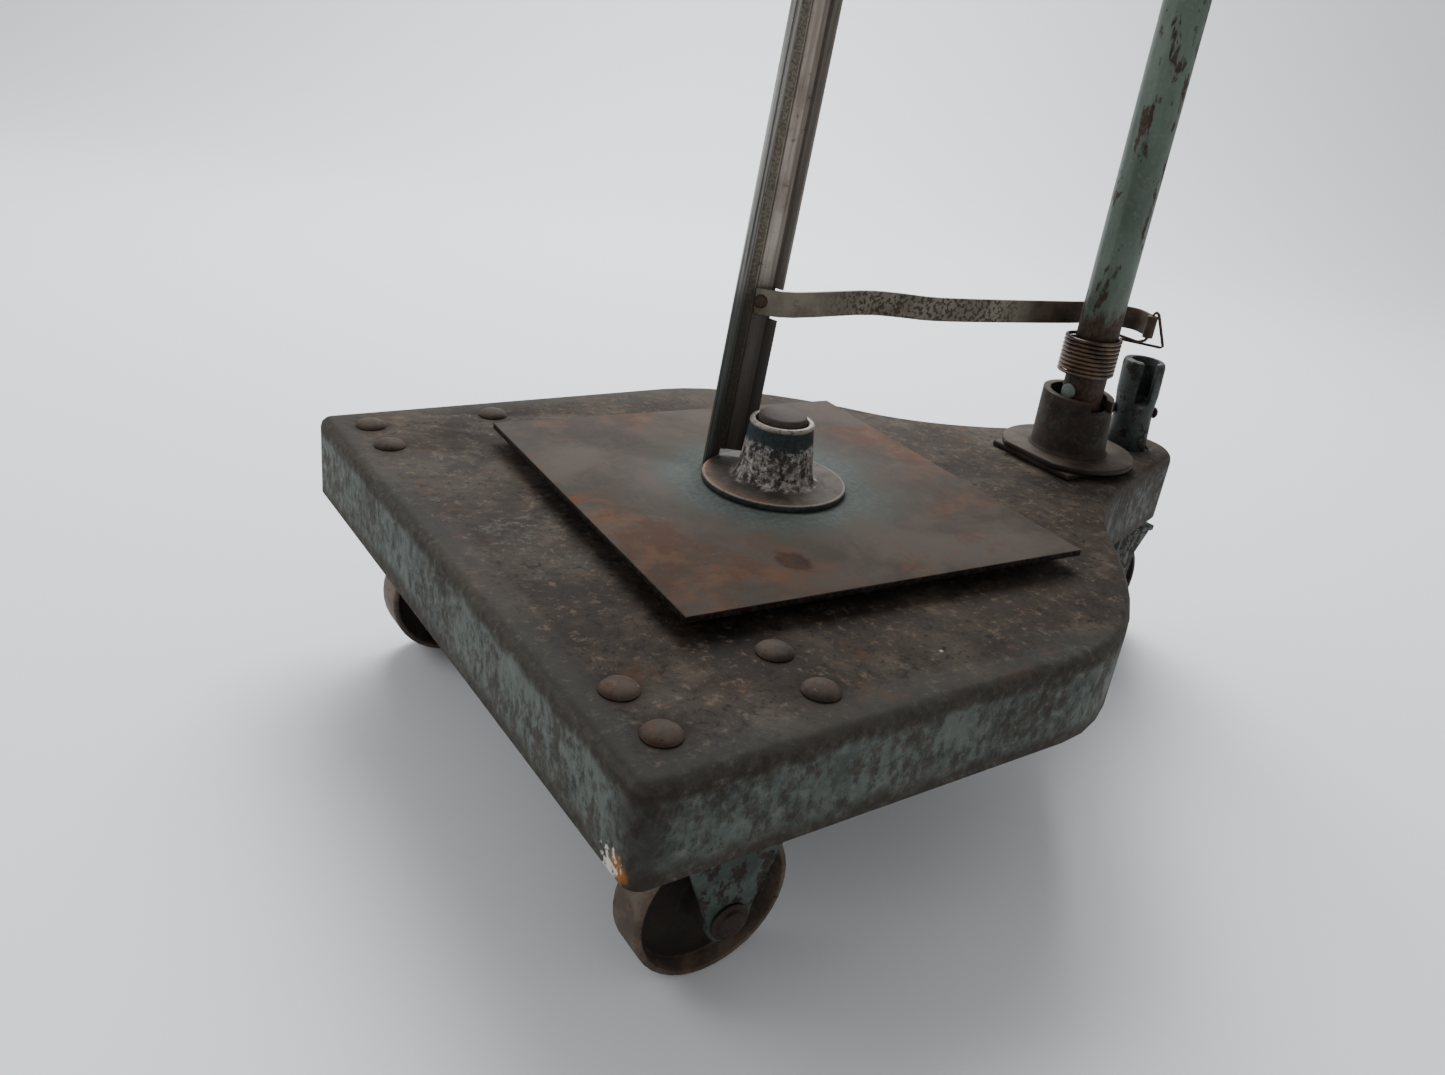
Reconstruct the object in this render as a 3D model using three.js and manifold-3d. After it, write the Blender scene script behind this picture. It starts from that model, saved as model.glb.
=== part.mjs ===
// Three-wheeled iron dolly: a pressed steel deck on two fixed casters and one steered caster,
// with a load plate that turns on a conical hub, a channel post tied by a strap to a tube
// handle, and a slotted steering post. Millimetres, +Z up, the floor at z = 0.
// +X runs from the broad front edge to the neck, and +Y is the left side.
import * as THREE from 'three';
import { mergeVertices } from 'three/addons/utils/BufferGeometryUtils.js';
import Module from 'manifold-3d';

const wasm = await Module();
wasm.setup();

// ---- driving dimensions ----
const DECK_LENGTH = 691.5;
const DECK_WIDTH = 490;
const DECK_TOP = 184;
const SKIRT_DEPTH = 60;
const SHEET = 3;
const BEND = 7;
const GAP = 0.3;

const WHEEL_R = 50;
const TREAD = 27;
const HUB_LENGTH = 46;
const AXLE_R = 6;
const LEG_T = 4;
const LEG_OUT = 27.5;
const FRONT_AXLE_X = 85;
const FRONT_WHEEL_Y = 189.5;
const RIVET_XS = [30, 126];
const RIVET_YS = [170.5, 212];
const RIVET_HOLE = 4.3;
const FORK_PLATE_T = 4;
const FORK_PLATE_HALF = 39;
const AXLE_NUT_T = 9;

const HUB_X = 245;
const KING_R = 13;
const PLATE_SIDE = 302;
const PLATE_T = 4.5;
const PLATE_TURN = -3.5;
const PLATE_TOP = DECK_TOP + 14.7;

const SOCKET_X = 558.5;
const SOCKET_RIM = DECK_TOP + 61;
const TUBE_R = 16.85;
const TUBE_WALL = 3.2;
const TUBE_TOP = 948;
const PAD_T = 4.7;
const PAD_R = 42;
const PAD_FRONT = 46;
const DISC_R = 55;
const DISC_FRONT = 48;

// The cast posts on the neck lean a little towards the left front.
const LEAN = 0.048;
const LEAN_AZIMUTH = 146.6;

const STEER_X = 650;
const STEER_Y = 8;
const REAR_AXLE_X = 642;
const STEM_R = 10;
const CLEVIS_R = 17.5;
const CLEVIS_TOP = DECK_TOP + 78;
const SLOT_AZIMUTH = -124;

const POST_X = 233.9;
const POST_Y = 45;
const POST_AZIMUTH = -33.7;
const POST_LEAN_X = 7.05;
const POST_LEAN_Y = 3.64;
const POST_LENGTH = 690;
const POST_WEB = 18.3;
const POST_FLANGE = 10.8;
const POST_FLARE = 31.5;
const POST_SHEET = 1.8;

const STRAP_W = 18;
const STRAP_T = 2.6;
const STRAP_CLEAR = 1.2;
const STRAP_PAST_TUBE = TUBE_R + 9.8;
const WIRE_R = 1.3;

// ---- materials ----
const paint = new THREE.MeshStandardMaterial({ color: '#4f5a56', roughness: 0.75, metalness: 0.3 });
const deckRust = new THREE.MeshStandardMaterial({ color: '#574f4a', roughness: 0.85, metalness: 0.3 });
const castIron = new THREE.MeshStandardMaterial({ color: '#4a3a32', roughness: 0.8, metalness: 0.5 });
const plateSteel = new THREE.MeshStandardMaterial({ color: '#6b5a52', roughness: 0.7, metalness: 0.4 });
const bareSteel = new THREE.MeshStandardMaterial({ color: '#77716a', roughness: 0.4, metalness: 0.8 });
const springSteel = new THREE.MeshStandardMaterial({ color: '#5f4c3f', roughness: 0.55, metalness: 0.6 });
const tubePaint = new THREE.MeshStandardMaterial({ color: '#4f6b68', roughness: 0.55, metalness: 0.3 });
const strapPaint = new THREE.MeshStandardMaterial({ color: '#6d6a58', roughness: 0.6, metalness: 0.3 });
const bronze = new THREE.MeshStandardMaterial({ color: '#8a6a3c', roughness: 0.5, metalness: 0.8 });

// ---- helpers ----
const cart = new THREE.Group();
const rad = THREE.MathUtils.degToRad;
const fromFront = (x) => x - (REAR_AXLE_X + WHEEL_R) / 2;

function addMesh(name, geometry, material, position = [0, 0, 0], rotation = [0, 0, 0]) {
  const mesh = new THREE.Mesh(geometry, material);
  mesh.name = name;
  mesh.position.set(...position);
  mesh.rotation.set(...rotation);
  cart.add(mesh);
  return mesh;
}

// A closed geometry as a solid for joining and cutting.
function toSolid(geometry) {
  const bare = geometry.clone();
  bare.deleteAttribute('normal');
  bare.deleteAttribute('uv');
  const merged = mergeVertices(bare, 1e-4);
  return new wasm.Manifold(new wasm.Mesh({
    numProp: 3,
    vertProperties: new Float32Array(merged.attributes.position.array),
    triVerts: new Uint32Array(merged.index.array),
  }));
}

function toGeometry(solid) {
  const mesh = solid.getMesh();
  const geometry = new THREE.BufferGeometry();
  geometry.setAttribute('position', new THREE.BufferAttribute(mesh.vertProperties, 3));
  geometry.setIndex(new THREE.BufferAttribute(mesh.triVerts, 1));
  const flat = geometry.toNonIndexed();
  flat.computeVertexNormals();
  return flat;
}

function cutAll(geometry, cutters) {
  let solid = toSolid(geometry);
  for (const cutter of cutters) solid = solid.subtract(toSolid(cutter));
  return toGeometry(solid);
}

// An upright cylinder from z0 to z1.
function pillar(radius, z0, z1, x = 0, y = 0, sides = 32) {
  const geometry = new THREE.CylinderGeometry(radius, radius, z1 - z0, sides);
  return geometry.rotateX(Math.PI / 2).translate(x, y, (z0 + z1) / 2);
}

function block(x0, x1, y0, y1, z0, z1) {
  const geometry = new THREE.BoxGeometry(x1 - x0, y1 - y0, z1 - z0);
  return geometry.translate((x0 + x1) / 2, (y0 + y1) / 2, (z0 + z1) / 2);
}

// A turned piece: [radius, z] pairs, about Z. Open profiles start and end on the axis.
function turned(profile, sides = 32) {
  const points = profile.map(([r, z]) => new THREE.Vector2(r, z));
  return new THREE.LatheGeometry(points, sides).rotateX(Math.PI / 2);
}

function turnedRing(profile, sides = 32) {
  return turned([...profile, profile[0]], sides);
}

// A flat sheet cut to a shape, standing from z0 up by its thickness.
function sheetOf(shape, z0, thickness, curveSegments = 10) {
  const options = { depth: thickness, bevelEnabled: false, curveSegments };
  return new THREE.ExtrudeGeometry(shape, options).translate(0, 0, z0);
}

// ---- deck ----
// The outline: straight sides, round shoulders, hollow flanks and a blunt round neck end.
// The neck stands a little to the left of the deck's middle.
function deckOutline() {
  const half = DECK_WIDTH / 2;
  const corner = 10;
  const noseR = 39.5;
  const noseX = DECK_LENGTH - noseR;
  const noseY = 7;
  const shape = new THREE.Shape();
  shape.moveTo(0, half - corner);
  shape.lineTo(0, corner - half);
  shape.absarc(corner, corner - half, corner, Math.PI, Math.PI * 1.5, false);
  shape.lineTo(297, -half);
  shape.bezierCurveTo(358, -half, 420, -182, 456, -137);
  shape.bezierCurveTo(486, -99, 522, -78, 568, -61);
  shape.absarc(noseX, noseY, noseR, rad(-74.6), rad(72.2), false);
  shape.lineTo(568, 75.5);
  shape.bezierCurveTo(528, 88.5, 482, 113, 456, 146);
  shape.bezierCurveTo(422, 189, 362, half, 300, half);
  shape.lineTo(corner, half);
  shape.absarc(corner, half - corner, corner, Math.PI / 2, Math.PI, false);
  return shape;
}

// A pan body whose top edge is rolled over; inset moves its walls inward.
function panBody(inset) {
  const radius = BEND - inset;
  const geometry = new THREE.ExtrudeGeometry(deckOutline(), {
    depth: 2 * SKIRT_DEPTH,
    bevelEnabled: true,
    bevelThickness: radius,
    bevelSize: radius,
    bevelOffset: -BEND,
    bevelSegments: 3,
    curveSegments: 9,
  });
  return geometry.translate(0, 0, DECK_TOP - inset - radius - 2 * SKIRT_DEPTH);
}

function buildDeck() {
  const keep = block(-10, DECK_LENGTH + 10, -DECK_WIDTH, DECK_WIDTH, DECK_TOP - SKIRT_DEPTH, DECK_TOP + 10);
  let pan = toSolid(panBody(0)).intersect(toSolid(keep)).subtract(toSolid(panBody(SHEET)));
  const holes = [
    pillar(KING_R + GAP, DECK_TOP - 20, DECK_TOP + 10, HUB_X),
    pillar(CLEVIS_R + 2.8, DECK_TOP - 20, DECK_TOP + 10, STEER_X, STEER_Y),
  ];
  for (const side of [-1, 1]) {
    for (const x of RIVET_XS) {
      for (const y of RIVET_YS) {
        holes.push(pillar(RIVET_HOLE, DECK_TOP - 20, DECK_TOP + 10, x, side * y, 12));
      }
    }
  }
  for (const hole of holes) pan = pan.subtract(toSolid(hole));
  addMesh('deck', toGeometry(pan), deckRust, [fromFront(0), 0, 0]);
}

// ---- casters ----
// A dished wheel turned about Z: thin deep rim, thin web, long hub.
function wheelShape() {
  const half = TREAD / 2;
  const side = [
    [WHEEL_R - 1.5, half], [WHEEL_R - 4, half], [WHEEL_R - 5.5, 3.5],
    [16, 2.5], [14.5, 5], [13.5, HUB_LENGTH / 2],
  ];
  const other = side.map(([r, z]) => [r, -z]).reverse();
  const bore = 9.3;
  const crown = [[WHEEL_R, -half + 1.5], [WHEEL_R, half - 1.5]];
  return turnedRing([...crown, ...side, [bore, HUB_LENGTH / 2], [bore, -HUB_LENGTH / 2], ...other], 40);
}

function bushShape() {
  const end = HUB_LENGTH / 2 - 0.5;
  return turnedRing([[9, -end], [9, end], [AXLE_R + GAP, end], [AXLE_R + GAP, -end]], 24);
}

// Axle rivet turned about Z: a low domed head on a collar at +Z, and a plain shank.
function axleShape(reach) {
  const face = reach + GAP;
  return turned([
    [0, -reach - 14], [AXLE_R, -reach - 14], [AXLE_R, face], [12, face], [12, face + 1.8],
    [8.5, face + 2], [8, face + 4.2], [5, face + 5.4], [0, face + 5.8],
  ], 20);
}

function hexNut(bore, across, thickness) {
  const nut = pillar(across / 2 / Math.cos(Math.PI / 6), 0, thickness, 0, 0, 6);
  return cutAll(nut, [pillar(bore, -1, thickness + 1, 0, 0, 24)]);
}

// A fork leg in the XZ plane: broad at the top, tapering to a round end at the axle.
function legShape(topLeft, topRight, topZ, shoulderLeft, shoulderRight, shoulderZ) {
  const end = 14;
  const shape = new THREE.Shape();
  shape.moveTo(topLeft, topZ);
  shape.lineTo(shoulderLeft, shoulderZ);
  shape.lineTo(-end, WHEEL_R + 3);
  shape.absarc(0, WHEEL_R, end, rad(168), rad(372), false);
  shape.lineTo(shoulderRight, shoulderZ);
  shape.lineTo(topRight, topZ);
  const hole = new THREE.Path();
  hole.absarc(0, WHEEL_R, AXLE_R + GAP, 0, Math.PI * 2, true);
  shape.holes.push(hole);
  return shape;
}

// Stands a leg up: the shape's second axis becomes Z, its thickness runs along +Y from y0.
function standLeg(shape, y0) {
  const leg = sheetOf(shape, 0, LEG_T, 10);
  return leg.rotateX(Math.PI / 2).translate(0, y0 + LEG_T, 0);
}

function buildWheelSet(prefix, x, y, outward) {
  const turn = [outward > 0 ? -Math.PI / 2 : Math.PI / 2, 0, 0];
  const place = [fromFront(x), y, WHEEL_R];
  addMesh(`${prefix}_wheel`, wheelShape(), castIron, place, turn);
  addMesh(`${prefix}_bush`, bushShape(), bronze, place, turn);
  addMesh(`${prefix}_axle`, axleShape(LEG_OUT), castIron, place, turn);
  const nut = hexNut(AXLE_R + GAP, 19, AXLE_NUT_T).translate(0, 0, LEG_OUT + GAP);
  addMesh(`${prefix}_axle_nut`, nut.rotateX(outward * Math.PI / 2), castIron, place);
}

function buildFrontCaster(prefix, side) {
  const plateTop = DECK_TOP - SHEET - GAP;
  const plateBottom = plateTop - FORK_PLATE_T;
  const yMid = side * FRONT_WHEEL_Y;
  const [yLow, yHigh] = [yMid - FORK_PLATE_HALF, yMid + FORK_PLATE_HALF];
  const plate = block(14, 142, yLow, yHigh, plateBottom, plateTop);
  const holes = [];
  for (const x of RIVET_XS) {
    for (const y of RIVET_YS) {
      holes.push(pillar(RIVET_HOLE, plateBottom - 5, plateTop + 5, x, side * y, 12));
    }
  }
  addMesh(`${prefix}_fork_plate`, cutAll(plate, holes), paint, [fromFront(0), 0, 0]);
  const outline = () => legShape(-32, 32, plateBottom - GAP, -30, 30, 94);
  const outerY = side > 0 ? LEG_OUT - LEG_T : -LEG_OUT;
  const innerY = side > 0 ? -LEG_OUT : LEG_OUT - LEG_T;
  const place = [fromFront(FRONT_AXLE_X), yMid, 0];
  addMesh(`${prefix}_outer_leg`, standLeg(outline(), outerY), paint, place);
  addMesh(`${prefix}_inner_leg`, standLeg(outline(), innerY), paint, place);
  buildWheelSet(prefix, FRONT_AXLE_X, yMid, side);
}

function buildRivets() {
  const under = DECK_TOP - SHEET - FORK_PLATE_T - 2 * GAP;
  const top = DECK_TOP + GAP;
  const profile = [
    [0, under - 5], [4, under - 4.6], [6, under - 3], [6.5, under], [4, under], [4, top],
    [11, top], [10.4, top + 1.6], [8, top + 3.4], [4.4, top + 4.5], [0, top + 4.9],
  ];
  let count = 0;
  for (const side of [-1, 1]) {
    for (const x of RIVET_XS) {
      for (const y of RIVET_YS) {
        count += 1;
        addMesh(`deck_rivet_${count}`, turned(profile, 12), castIron, [fromFront(x), side * y, 0]);
      }
    }
  }
}

// ---- turntable ----
function buildKingPin() {
  const place = [fromFront(HUB_X), 0, 0];
  const seat = DECK_TOP + 54;
  const profile = [
    [0, 152], [KING_R, 152], [KING_R, seat + 0.4], [16.8, seat + 0.4], [16.8, seat + 11.2],
    [15.6, seat + 12.2], [0, seat + 12.2],
  ];
  addMesh('king_pin', turned(profile, 32), plateSteel, place);
  const backTop = DECK_TOP - SHEET - GAP;
  const backBottom = backTop - 5;
  const nutT = 16;
  const back = block(-55, 55, -55, 55, backBottom, backTop);
  const backBore = pillar(KING_R + GAP, backBottom - 5, backTop + 5);
  addMesh('king_backing_plate', cutAll(back, [backBore]), deckRust, place);
  const nut = hexNut(KING_R + GAP, 41, nutT).translate(0, 0, backBottom - GAP - nutT);
  addMesh('king_nut', nut, castIron, place);
  const [inner, outer] = [KING_R + 6, 75];
  const [low, high] = [DECK_TOP + GAP, DECK_TOP + 4.9];
  const ring = turnedRing([[outer, low], [outer, high], [inner, high], [inner, low]], 40);
  addMesh('bearing_ring', ring, castIron, place);
}

function buildTurntable() {
  const place = [fromFront(HUB_X), 0, 0];
  const bore = KING_R + GAP;
  const bottom = PLATE_TOP - PLATE_T;
  const [low, high] = [DECK_TOP + 5.2, bottom - GAP];
  addMesh('thrust_washer', turnedRing([[72, low], [72, high], [bore, high], [bore, low]], 40), bronze, place);
  const half = PLATE_SIDE / 2;
  const plate = block(-half, half, -half, half, bottom, PLATE_TOP);
  const plateBore = pillar(bore, bottom - 5, PLATE_TOP + 5);
  addMesh('load_plate', cutAll(plate, [plateBore]), plateSteel, place, [0, 0, rad(PLATE_TURN)]);
  const base = PLATE_TOP + GAP;
  const top = DECK_TOP + 62;
  const cone = [
    [bore, base], [50.5, base], [51, base + 0.8], [51, base + 3.6], [50, base + 4.4], [31, base + 5],
    [28, base + 6.6], [26.5, base + 10], [22.2, top - 4], [22.6, top - 1.5], [21.6, top], [19, top],
    [18.6, top - 1], [18.6, top - 8], [bore, top - 8],
  ];
  addMesh('hub_cone', turnedRing(cone, 40), paint, place);
}

// ---- channel post and strap ----
// The post's section, open side towards -Y: a web with a shallow rolled step and two flared flanges.
function channelShape() {
  const flare = rad(POST_FLARE);
  const web = POST_WEB / 2;
  const out = new THREE.Vector2(Math.sin(flare), -Math.cos(flare)).multiplyScalar(POST_FLANGE);
  const skin = new THREE.Vector2(Math.cos(flare), Math.sin(flare)).multiplyScalar(POST_SHEET);
  const step = 0.7;
  const stepX = -web + 7.3;
  const shape = new THREE.Shape();
  shape.moveTo(-web - out.x, out.y);
  shape.lineTo(-web, -step);
  shape.lineTo(stepX, -step);
  shape.lineTo(stepX + step, 0);
  shape.lineTo(web, 0);
  shape.lineTo(web + out.x, out.y);
  shape.lineTo(web + out.x + skin.x, out.y + skin.y);
  shape.lineTo(web + POST_SHEET * 0.6, POST_SHEET);
  shape.lineTo(-web - POST_SHEET * 0.6, POST_SHEET);
  shape.lineTo(-web - out.x - skin.x, out.y + skin.y);
  return shape;
}

// The post's own frame: X along the web, Y away from the open side, Z up the leaning post.
function postFrame() {
  const up = new THREE.Vector3(Math.tan(rad(POST_LEAN_X)), Math.tan(rad(POST_LEAN_Y)), 1).normalize();
  const along = new THREE.Vector3(Math.cos(rad(POST_AZIMUTH)), Math.sin(rad(POST_AZIMUTH)), 0);
  const away = new THREE.Vector3().crossVectors(up, along).normalize();
  along.crossVectors(away, up).normalize();
  const frame = new THREE.Matrix4().makeBasis(along, away, up);
  return frame.setPosition(fromFront(POST_X), POST_Y, PLATE_TOP);
}

// A point on the web's inner face at a given height along the post.
const onWeb = (x, y, z) => new THREE.Vector3(x, y, z).applyMatrix4(postFrame());

const STRAP_POST_Z = DECK_TOP + 131;
const STRAP_TUBE_Z = DECK_TOP + 120;
const postStretch = Math.hypot(Math.tan(rad(POST_LEAN_X)), Math.tan(rad(POST_LEAN_Y)), 1);
const strapAlong = (STRAP_POST_Z - PLATE_TOP) * postStretch;

function buildPost() {
  const post = sheetOf(channelShape(), -8, POST_LENGTH + 8);
  const floorCut = block(-300, 300, -300, 300, -40, PLATE_TOP + GAP);
  const discTop = PLATE_TOP + GAP + 4.4;
  const discCut = pillar(51.6, 0, discTop + 4.5, fromFront(HUB_X), 0, 40);
  const coneCut = new THREE.CylinderGeometry(21, 29.5, 60, 32).rotateX(Math.PI / 2);
  coneCut.translate(fromFront(HUB_X), 0, discTop + 22);
  const notch = block(3, 40, -30, 0, strapAlong - 10.5, strapAlong + 10.5);
  const placed = post.applyMatrix4(postFrame());
  const cuts = [floorCut, discCut, coneCut, notch.applyMatrix4(postFrame())];
  addMesh('channel_post', cutAll(placed, cuts), bareSteel);
}

// Sweeps an upright flat bar along a list of [x, y, z] points by its centre line.
function flatBar(points, height, thickness) {
  const solid = [];
  const corners = [];
  for (let i = 0; i < points.length; i += 1) {
    const here = points[i];
    const before = points[Math.max(i - 1, 0)];
    const after = points[Math.min(i + 1, points.length - 1)];
    const side = new THREE.Vector3(before.y - after.y, after.x - before.x, 0).normalize();
    const off = side.multiplyScalar(thickness / 2);
    for (const [s, v] of [[1, 1], [-1, 1], [-1, -1], [1, -1]]) {
      corners.push(here.x + s * off.x, here.y + s * off.y, here.z + (v * height) / 2);
    }
  }
  for (let i = 0; i + 1 < points.length; i += 1) {
    for (let k = 0; k < 4; k += 1) {
      const a = 4 * i + k;
      const b = 4 * i + ((k + 1) % 4);
      solid.push(a, b, b + 4, a, b + 4, a + 4);
    }
  }
  const last = 4 * (points.length - 1);
  solid.push(0, 2, 1, 0, 3, 2, last, last + 1, last + 2, last, last + 2, last + 3);
  const geometry = new THREE.BufferGeometry();
  geometry.setAttribute('position', new THREE.BufferAttribute(new Float32Array(corners), 3));
  geometry.setIndex(solid);
  return geometry;
}

const EYE_X = fromFront(602);
const EYE_Y = -16;
const EYE_R = WIRE_R + 0.35;

function strapPath() {
  const start = onWeb(-1.5, -STRAP_T / 2 - STRAP_CLEAR, strapAlong);
  const leave = onWeb(19, -STRAP_T / 2 - STRAP_CLEAR, strapAlong);
  start.z = STRAP_POST_Z;
  leave.z = STRAP_POST_Z - 0.4;
  const knots = [
    start, leave,
    new THREE.Vector3(fromFront(345), 44, DECK_TOP + 128.5),
    new THREE.Vector3(fromFront(372), 39, DECK_TOP + 127),
    new THREE.Vector3(fromFront(400), 35, DECK_TOP + 124.5),
    new THREE.Vector3(fromFront(480), 28, DECK_TOP + 122),
    new THREE.Vector3(fromFront(548), STRAP_PAST_TUBE, STRAP_TUBE_Z - 0.6),
    new THREE.Vector3(fromFront(583), STRAP_PAST_TUBE, STRAP_TUBE_Z - 2),
    new THREE.Vector3(fromFront(603), 18.5, STRAP_TUBE_Z - 3),
    new THREE.Vector3(fromFront(612.5), 6, STRAP_TUBE_Z - 3.2),
    new THREE.Vector3(fromFront(607.5), -9, STRAP_TUBE_Z - 3),
  ];
  return new THREE.CatmullRomCurve3(knots, false, 'centripetal').getPoints(44);
}

function buildStrap() {
  const eyeZ = STRAP_TUBE_Z - 3;
  const eye = pillar(EYE_R + STRAP_T, eyeZ - STRAP_W / 2, eyeZ + STRAP_W / 2, EYE_X, EYE_Y, 20);
  const wireBore = pillar(EYE_R, eyeZ - STRAP_W, eyeZ + STRAP_W, EYE_X, EYE_Y, 20);
  const path = strapPath();
  path.push(new THREE.Vector3(EYE_X + EYE_R + 0.8, EYE_Y + 1, eyeZ));
  const rivetAxis = onWeb(2.5, 0, strapAlong);
  const away = new THREE.Vector3().setFromMatrixColumn(postFrame(), 1);
  const aim = new THREE.Quaternion().setFromUnitVectors(new THREE.Vector3(0, 0, 1), away);
  const bore = pillar(3.3, -12, 12, 0, 0, 16).applyQuaternion(aim).translate(...rivetAxis);
  let strap = toSolid(flatBar(path, STRAP_W, STRAP_T)).add(toSolid(eye));
  strap = strap.subtract(toSolid(wireBore)).subtract(toSolid(bore));
  addMesh('strap', toGeometry(strap), strapPaint);
  const post = cart.getObjectByName('channel_post');
  post.geometry = cutAll(post.geometry, [bore]);
  const head = STRAP_T + 2 * STRAP_CLEAR;
  const rivet = turned([
    [0, -head - 2.4], [3.4, -head - 1.8], [5, -head], [3, -head], [3, POST_SHEET + GAP],
    [4.8, POST_SHEET + GAP], [3.2, POST_SHEET + 2.2], [0, POST_SHEET + 2.6],
  ], 16);
  addMesh('strap_rivet', rivet.applyQuaternion(aim).translate(...rivetAxis), castIron);
}

// The wire bail: both ends stop inside the eye, and the loop hangs back behind the tube.
function buildBail() {
  const eyeZ = STRAP_TUBE_Z - 3;
  const top = eyeZ + STRAP_W / 2 + 2.6;
  const low = DECK_TOP + 99;
  const point = (x, y, z) => new THREE.Vector3(fromFront(x), y, z);
  const path = new THREE.CurvePath();
  const stops = [
    new THREE.Vector3(EYE_X, EYE_Y, eyeZ + 2), new THREE.Vector3(EYE_X, EYE_Y, top),
    point(606, -17.5, top + 0.5), point(622, -20, low), point(592, 29, low), point(591, 28, low + 6),
    point(601, -9, low + 3.2), new THREE.Vector3(EYE_X, EYE_Y, eyeZ - STRAP_W / 2 - 2.4),
    new THREE.Vector3(EYE_X, EYE_Y, eyeZ - 2),
  ];
  const bend = 2.4;
  let last = stops[0];
  for (let i = 1; i + 1 < stops.length; i += 1) {
    const corner = stops[i];
    const into = corner.clone().sub(stops[i - 1]).setLength(bend);
    const outOf = stops[i + 1].clone().sub(corner).setLength(bend);
    const a = corner.clone().sub(into);
    const b = corner.clone().add(outOf);
    path.add(new THREE.LineCurve3(last, a));
    path.add(new THREE.QuadraticBezierCurve3(a, corner, b));
    last = b;
  }
  path.add(new THREE.LineCurve3(last, stops[stops.length - 1]));
  const section = new THREE.Shape().absarc(0, 0, WIRE_R, 0, Math.PI * 2, false);
  const options = { steps: 64, extrudePath: path, curveSegments: 3, bevelEnabled: false };
  addMesh('bail_wire', new THREE.ExtrudeGeometry(section, options), springSteel);
}

// ---- tube handle and its socket ----
const DISC_TOP = DECK_TOP + 2 * (PAD_T + GAP);
const PIN_Z = DECK_TOP + 60.5;

// How far a leaning casting has moved sideways at a height.
const leanAt = (z) => [
  LEAN * (z - DECK_TOP) * Math.cos(rad(LEAN_AZIMUTH)),
  LEAN * (z - DECK_TOP) * Math.sin(rad(LEAN_AZIMUTH)),
];

function leaned(geometry) {
  const [perX, perY] = leanAt(DECK_TOP + 1);
  const push = new THREE.Matrix4().makeShear(0, 0, 0, 0, perX, perY);
  return geometry.translate(0, 0, -DECK_TOP).applyMatrix4(push).translate(0, 0, DECK_TOP);
}

// The pad: a straight front edge, straight sides and a round back, centred on the socket's axis.
function padShape() {
  const shape = new THREE.Shape();
  shape.moveTo(0, PAD_R);
  shape.lineTo(-PAD_FRONT, PAD_R);
  shape.lineTo(-PAD_FRONT, -PAD_R);
  shape.lineTo(0, -PAD_R);
  shape.absarc(0, 0, PAD_R, -Math.PI / 2, Math.PI / 2, false);
  return shape;
}

// The disc on the pad, with its front cut off straight.
function discShape() {
  const angle = Math.acos(DISC_FRONT / DISC_R);
  return new THREE.Shape().absarc(0, 0, DISC_R, angle - Math.PI, Math.PI - angle, false);
}

function buildSocket() {
  const place = [fromFront(SOCKET_X), 0, 0];
  addMesh('socket_pad', sheetOf(padShape(), DECK_TOP + GAP, PAD_T, 16), deckRust, place);
  addMesh('socket_disc', sheetOf(discShape(), DISC_TOP - PAD_T, PAD_T, 24), deckRust, place);
  const base = DISC_TOP + GAP;
  const ledge = DECK_TOP + 38;
  const collar = leaned(turned([
    [0, base], [33.6, base], [32.2, base + 1.2], [31.2, base + 3.5], [29.2, SOCKET_RIM], [0, SOCKET_RIM],
  ], 48));
  const bore = pillar(TUBE_R + 0.4, base - 5, ledge + 5, 0, 0, 48);
  const mouth = leaned(turned([
    [0, ledge - 2], [TUBE_R + 1, ledge - 2], [23.5, ledge], [23.5, SOCKET_RIM + 5], [0, SOCKET_RIM + 5],
  ], 48));
  // The rim slopes down to the right front, where a notch is cut out of it.
  const slope = block(-60, 60, -60, 60, 0, 40).rotateX(rad(3)).rotateZ(rad(-10));
  slope.translate(0, 0, SOCKET_RIM - 3);
  const notch = block(14, 60, -12, 12, SOCKET_RIM - 12.6, SOCKET_RIM + 20).rotateZ(rad(-98));
  addMesh('handle_socket', cutAll(collar, [bore, mouth, slope, notch]), deckRust, place);
}

function buildHandle() {
  const place = [fromFront(SOCKET_X), 0, 0];
  const bottom = DISC_TOP + 2 * GAP;
  const inner = TUBE_R - TUBE_WALL;
  const tube = turnedRing([[TUBE_R, bottom], [TUBE_R, TUBE_TOP], [inner, TUBE_TOP], [inner, bottom]], 32);
  const pinBore = pillar(4.3, -40, 40, 0, 0, 16).rotateY(Math.PI / 2);
  addMesh('handle_tube', cutAll(tube, [pinBore.translate(0, 0, PIN_Z)]), tubePaint, place);
  const pin = turned([
    [0, -20], [5.6, -20], [6.6, -19.2], [6.6, -17.4], [4, -17.4], [4, 17.4], [6.6, 17.4],
    [6.6, 19.2], [5.6, 20], [0, 20],
  ], 20);
  pin.rotateY(Math.PI / 2).translate(0, 0, PIN_Z);
  addMesh('cross_pin', pin, paint, place);
  const bar = new THREE.CapsuleGeometry(TUBE_R, 220, 4, 20);
  const saddle = pillar(TUBE_R + GAP, TUBE_TOP - 60, TUBE_TOP + GAP, 0, 0, 32);
  bar.translate(0, 0, TUBE_TOP + TUBE_R * 0.55);
  addMesh('handle_crossbar', cutAll(bar, [saddle]), tubePaint, place);
}

// The close-wound spring hangs loose round the tube, just above the cross pin.
class Helix extends THREE.Curve {
  constructor(radius, pitch, turns, z0) {
    super();
    Object.assign(this, { radius, pitch, turns, z0 });
  }

  getPoint(t, target = new THREE.Vector3()) {
    const angle = 2 * Math.PI * this.turns * t;
    return target.set(
      this.radius * Math.cos(angle),
      this.radius * Math.sin(angle),
      this.z0 + this.pitch * this.turns * t,
    );
  }
}

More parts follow.
